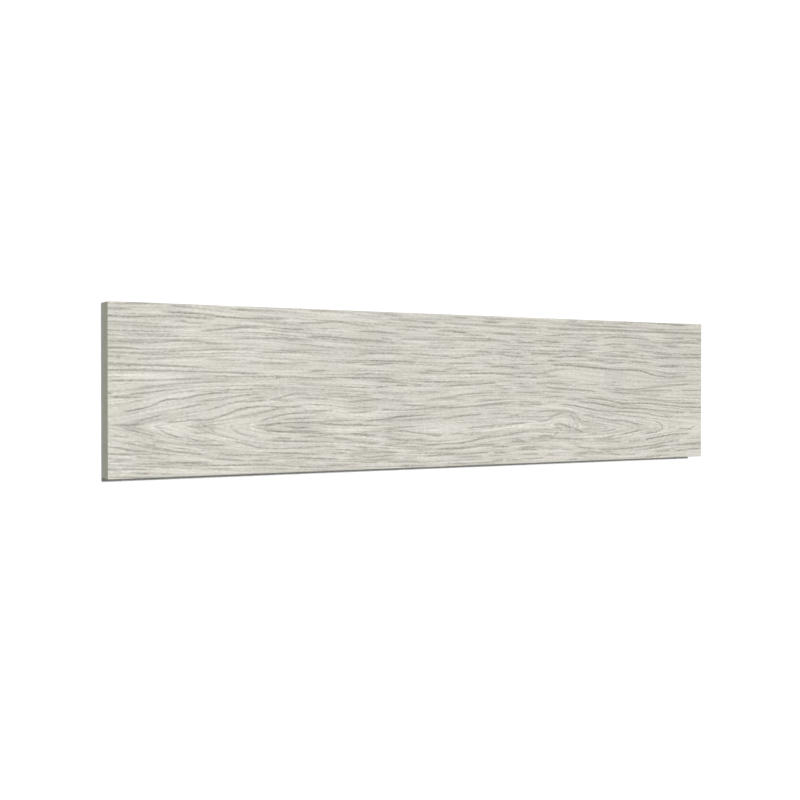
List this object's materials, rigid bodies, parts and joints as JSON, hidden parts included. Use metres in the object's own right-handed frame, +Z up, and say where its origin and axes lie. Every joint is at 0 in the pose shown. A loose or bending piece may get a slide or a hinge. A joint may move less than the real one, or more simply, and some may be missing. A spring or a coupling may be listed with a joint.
{
  "type": "mineral composite panel",
  "caption": "Long flat rectangular mineral composite panel with a wood-grained face, square-cut ends and softly eased face edges, for cladding walls or paving floors.",
  "frame": {"origin": "centre of the back face, on the surface that the panel lies on", "axes": "+X along the length, towards the end that is on the right in the picture; +Y across the width, towards the edge that is uppermost there; +Z up, out of the grained face"},
  "size_m": [0.9, 0.2, 0.028],
  "materials": {
    "mineral_composite": "matte"
  },
  "bodies": {
    "root": {"panel": "mineral_composite"}
  },
  "joints": []
}
